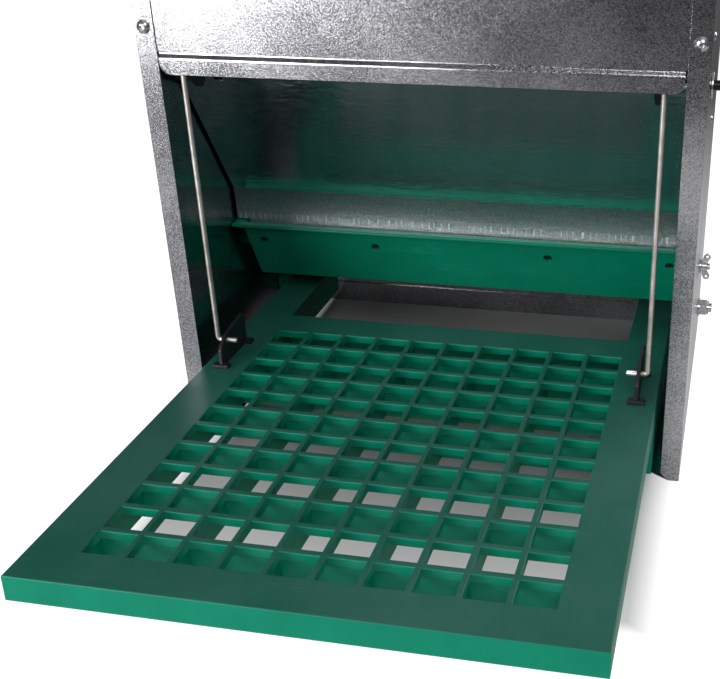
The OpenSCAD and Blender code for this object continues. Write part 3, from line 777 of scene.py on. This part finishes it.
    def rib_sizes(self):
        """Rows of x0, x1, y0, y1, bottom at y0, bottom at y1, top for the deep ribs, skirts and window walls."""
        top, pitch, half_rib, wall, inset = (DECK[k] for k in ("top", "pitch", "rib_half", "wall", "inset"))
        front, rear, half = DECK["front"] + inset, DECK["rear"] - inset, DECK["half"] - inset
        cheek, window, window_y = DECK["cheek"], DECK["window_half"], DECK["window_front"]
        grid_front, grid_half, rows = DECK["grid_front"], DECK["grid_half"], DECK["cells_y"]
        grid_rear = grid_front + rows * pitch
        low_front, low_rear = top - DECK["rib_low_front"], top - DECK["rib_low_rear"]
        root, under = top - 5, top - 2
        skirt, deep = top - DECK["skirt"], top - DECK["window_depth"]
        sizes = []
        for x in -grid_half + pitch * np.arange(0, DECK["cells_x"] + 1, 2):
            sizes.append([x - half_rib, x + half_rib, grid_front, grid_rear, low_front, low_rear, root])
        for row in range(1, rows, 2):
            y, low = grid_front + pitch * row, low_front + row / rows * (low_rear - low_front)
            sizes.append([-grid_half, grid_half, y - half_rib, y + half_rib, low, low, root])
        sizes.append([-half, half, front, front + wall, skirt, skirt, under])
        for side in (-1, 1):
            outer = sorted((side * half, side * (half - wall)))
            inner = sorted((side * (window + inset), side * (window + wall)))
            sizes.append([*outer, front, cheek, skirt, skirt, under])
            sizes.append([*inner, cheek, rear, deep, deep, under])
        sizes.append([-window - 1, window + 1, window_y - wall, window_y - inset, deep, deep, under])
        return np.array(sizes)

    def bars(self, sizes, base):
        """Bars of six faces with points of their own: corner (i, j, k) is (x_i, y_j, top or the bottom under y_j)."""
        x0, x1, y0, y1, low0, low1, high = sizes.T
        x = np.stack([x0, x0, x0, x0, x1, x1, x1, x1], axis=1)
        y = np.stack([y0, y0, y1, y1] * 2, axis=1)
        z = np.stack([low0, high, low1, high] * 2, axis=1)
        sides = [0, 1, 3, 2, 4, 6, 7, 5, 0, 4, 5, 1, 2, 3, 7, 6, 0, 2, 6, 4, 1, 5, 7, 3]
        points = np.stack([x, y, z], axis=-1)[:, sides].reshape(-1, 3)
        return points, base + np.arange(len(points)).reshape(-1, 4)


class FEEDER_OT_linkage(PieceOperator):
    """Two rods with the brackets and levers that they join"""

    bl_idname = "feeder.linkage"
    bl_label = "Rods, brackets and levers"

    def execute(self, context):
        for node in ("rod_left", "rod_right"):
            low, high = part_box(node)
            self.rod(node, np.array(low), np.array(high))
        for node in ("rod_bracket_left", "rod_bracket_right"):
            softened(node, 0.5 * MM, black_part(), "black_plastic")
        for node in ("lever_left", "lever_right"):
            softened(node, 0.35 * MM, black_part("Black steel", 0.34, 0.3), "black_steel")
        return {"FINISHED"}

    def rod(self, node, low, high):
        """A wire with a hook at each end: straight up at the outer side, bent inwards on an arc at both ends."""
        radius = (high[1] - low[1]) / 2
        middle = (low[1] + high[1]) / 2
        sign = 1 if low[0] + high[0] > 0 else -1
        outer = max(abs(low[0]), abs(high[0])) - radius
        inner = min(abs(low[0]), abs(high[0]))
        foot, head = low[2] + radius, high[2] - radius
        upper_inner = inner + LEVER_GRIP
        ends = [[inner, foot], [outer, foot], [outer, head], [upper_inner, head]]
        flat = rounded_route(np.array(ends) * [sign, 1], 3 * MM, 9)
        tall = np.linspace(flat[9], flat[10], 40)[1:-1]
        flat = np.concatenate([flat[:10], tall, flat[10:]])
        route = np.stack([flat[:, 0], np.full(len(flat), middle), flat[:, 1]], axis=1)
        points, faces = tube(route, radius)
        mesh = surface(node + "_wire", points, faces)
        add_object(node + "_wire", mesh, drawn_wire(), BODY_OF[node], "rod_wire", node)


class FEEDER_OT_fasteners(PieceOperator):
    """Screws, nuts, washers, rivets and bolts"""

    bl_idname = "feeder.fasteners"
    bl_label = "Fasteners"

    def execute(self, context):
        edge = context.scene.feeder_hardware.edge
        housing = "front_screws front_nuts back_rivets baffle_rivets trough_bolts wing_nuts"
        pivots = "axle_washers pivot_bolts pivot_washers pivot_nuts"
        moving = "hinge_rivets lid_rivets lever_screws bracket_screws"
        for node in " ".join((housing, pivots, moving)).split():
            softened(node, edge, plated(), "zinc")
        return {"FINISHED"}


# ---- stage ----


class FEEDER_OT_stage(Operator):
    """Pale floor, soft light and the camera"""

    bl_idname = "feeder.stage"
    bl_label = "Stage"
    bl_options = {"REGISTER", "UNDO"}

    def execute(self, context):
        scene = context.scene
        stage = scene.feeder_stage
        self.floor(scene, stage)
        self.sky(scene, stage)
        self.soft_light(scene, "Key light", stage.key, 1.3, (-1.24, -1.75, 0.48), (0.0, 0.0, 0.25))
        self.soft_light(scene, "Top light", stage.fill, 2.2, (0.2, -0.2, 2.4), (0.0, 0.0, 0.1))
        self.soft_light(scene, "Front light", stage.front, 0.8, (0.55, -1.5, 1.35), (0.0, 0.1, 0.1))
        self.soft_light(scene, "Rear light", stage.rear, 1.6, (1.5, 1.9, 1.1), (0.0, 0.1, 0.3))
        self.camera(scene, stage)
        scene.view_settings.view_transform = "Standard"
        return {"FINISHED"}

    def floor(self, scene, stage):
        """A flat sheet on z = 0, 12 m square."""
        ends = np.linspace(-6, 6, 3)
        x, y = np.meshgrid(ends, ends)
        points = np.stack([x, y, np.full_like(x, -0.0002)], axis=-1)
        mesh = surface("floor", points, quads_of(3, 3))
        material, tree, shader, where = new_material("Pale floor", Roughness=0.9)
        paper = noise(tree, where, 5.0, 2.0, 0.5)
        pale = blend_colours(tree, paper, shade(0.97, stage.floor), stage.floor)
        from_middle = add(tree, "VectorMath", {0: where}, operation="LENGTH").outputs["Value"]
        far = ramp(tree, from_middle, 0.6, 1.2)
        tree.links.new(blend_colours(tree, far, pale, stage.far_floor), shader.inputs["Base Color"])
        place = add(tree, "SeparateXYZ", {"Vector": where}).outputs
        across = ramp(tree, maths(tree, "ABSOLUTE", place[0]), 0.165, 0.2)
        along = maths(tree, "MAXIMUM", ramp(tree, place[1], -0.155, -0.18), ramp(tree, place[1], 0.295, 0.33))
        # Painted light: beneath the feeder the floor glows a little, from nothing at the back to about a third at the
        # front, so the floor seen through the grid looks lit; beyond the footprint it glows fully as a bright floor.
        under = ramp(tree, place[1], 0.02, -0.15, 0.0, 0.36)
        glow_and_painted_light_mask = maths(tree, "MAXIMUM", maths(tree, "MAXIMUM", across, along), under)
        seen = tree.nodes.new("ShaderNodeLightPath").outputs["Is Camera Ray"]
        glow = maths(tree, "MULTIPLY", seen, stage.floor_glow)
        shader.inputs["Emission Color"].default_value = (1.0, 1.0, 1.0, 1.0)
        near = ramp(tree, from_middle, 0.55, 1.1, stage.near_glow, 0.0)
        given_off = times(tree, maths(tree, "MAXIMUM", glow, near), glow_and_painted_light_mask)
        tree.links.new(given_off, shader.inputs["Emission Strength"])
        mesh.materials.append(material)
        floor = bpy.data.objects.new("floor", mesh)
        scene.collection.objects.link(floor)

    def sky(self, scene, stage):
        world = bpy.data.worlds.new("Even light")
        world.use_nodes = True
        light = world.node_tree.nodes["Background"]
        light.inputs["Color"].default_value = (1.0, 1.0, 1.0, 1.0)
        tree = world.node_tree
        seen = tree.nodes.new("ShaderNodeLightPath").outputs["Is Camera Ray"]
        tree.links.new(ramp(tree, seen, 0.0, 1.0, stage.sky, 1.0), light.inputs["Strength"])
        scene.world = world

    def soft_light(self, scene, name, power, size, place, target):
        lamp = bpy.data.lights.new(name, "AREA")
        lamp.energy = power
        lamp.size = size
        lamp_object = bpy.data.objects.new(name, lamp)
        scene.collection.objects.link(lamp_object)
        aim = np.array(target) - np.array(place)
        lamp_object.location = place
        lamp_object.rotation_euler = Vector(aim).to_track_quat("-Z", "Y").to_euler()

    def camera(self, scene, stage):
        """Looks down from the front right, with the horizon turned about one degree."""
        right = (0.97727, 0.21107, -0.01978)
        down = (0.08797, -0.48863, -0.86804)
        ahead = (-0.19288, 0.84657, -0.49609)
        lens = bpy.data.cameras.new("Camera")
        lens.sensor_width = 36
        lens.lens = stage.lens
        lens.shift_x = -(467.258 - 360) / 720
        lens.shift_y = (404.432 - 339.5) / 720
        lens.clip_start = 0.02
        camera = bpy.data.objects.new("Camera", lens)
        scene.collection.objects.link(camera)
        turned = Matrix((right, [-v for v in down], [-v for v in ahead])).transposed().to_4x4()
        camera.matrix_world = Matrix.Translation((0.218843, -0.802145, 0.528190)) @ turned
        scene.camera = camera


class FEEDER_PT_panel(Panel):
    """Lists the pieces of the feeder and their settings"""

    bl_idname = "FEEDER_PT_panel"
    bl_label = "Treadle feeder"
    bl_space_type = "VIEW_3D"
    bl_region_type = "UI"
    bl_category = "Feeder"

    def draw(self, context):
        layout = self.layout
        for piece in OPERATORS:
            layout.operator(piece.bl_idname)
        for attribute, group in SETTINGS.items():
            box = layout.box()
            for field in group.__annotations__:
                box.prop(getattr(context.scene, attribute), field)


SETTINGS = {
    "feeder_sheet": FeederSheetSettings,
    "feeder_plastic": FeederPlasticSettings,
    "feeder_hardware": FeederHardwareSettings,
    "feeder_stage": FeederStageSettings,
}
OPERATORS = (
    FEEDER_OT_stage,
    FEEDER_OT_housing,
    FEEDER_OT_lid,
    FEEDER_OT_flap,
    FEEDER_OT_trough,
    FEEDER_OT_step_plate,
    FEEDER_OT_linkage,
    FEEDER_OT_fasteners,
)


def register():
    for made in (*SETTINGS.values(), *OPERATORS, FEEDER_PT_panel):
        bpy.utils.register_class(made)
    for attribute, group in SETTINGS.items():
        setattr(bpy.types.Scene, attribute, PointerProperty(type=group))


def unregister():
    for attribute in SETTINGS:
        delattr(bpy.types.Scene, attribute)
    for made in reversed((*SETTINGS.values(), *OPERATORS, FEEDER_PT_panel)):
        bpy.utils.unregister_class(made)


def corners(pair):
    return [list(pair[0]), list(pair[1])]


def main():
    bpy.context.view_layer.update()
    register()
    for operator in OPERATORS:
        family, call = operator.bl_idname.split(".")
        getattr(getattr(bpy.ops, family), call)()


if __name__ == "__main__":
    main()
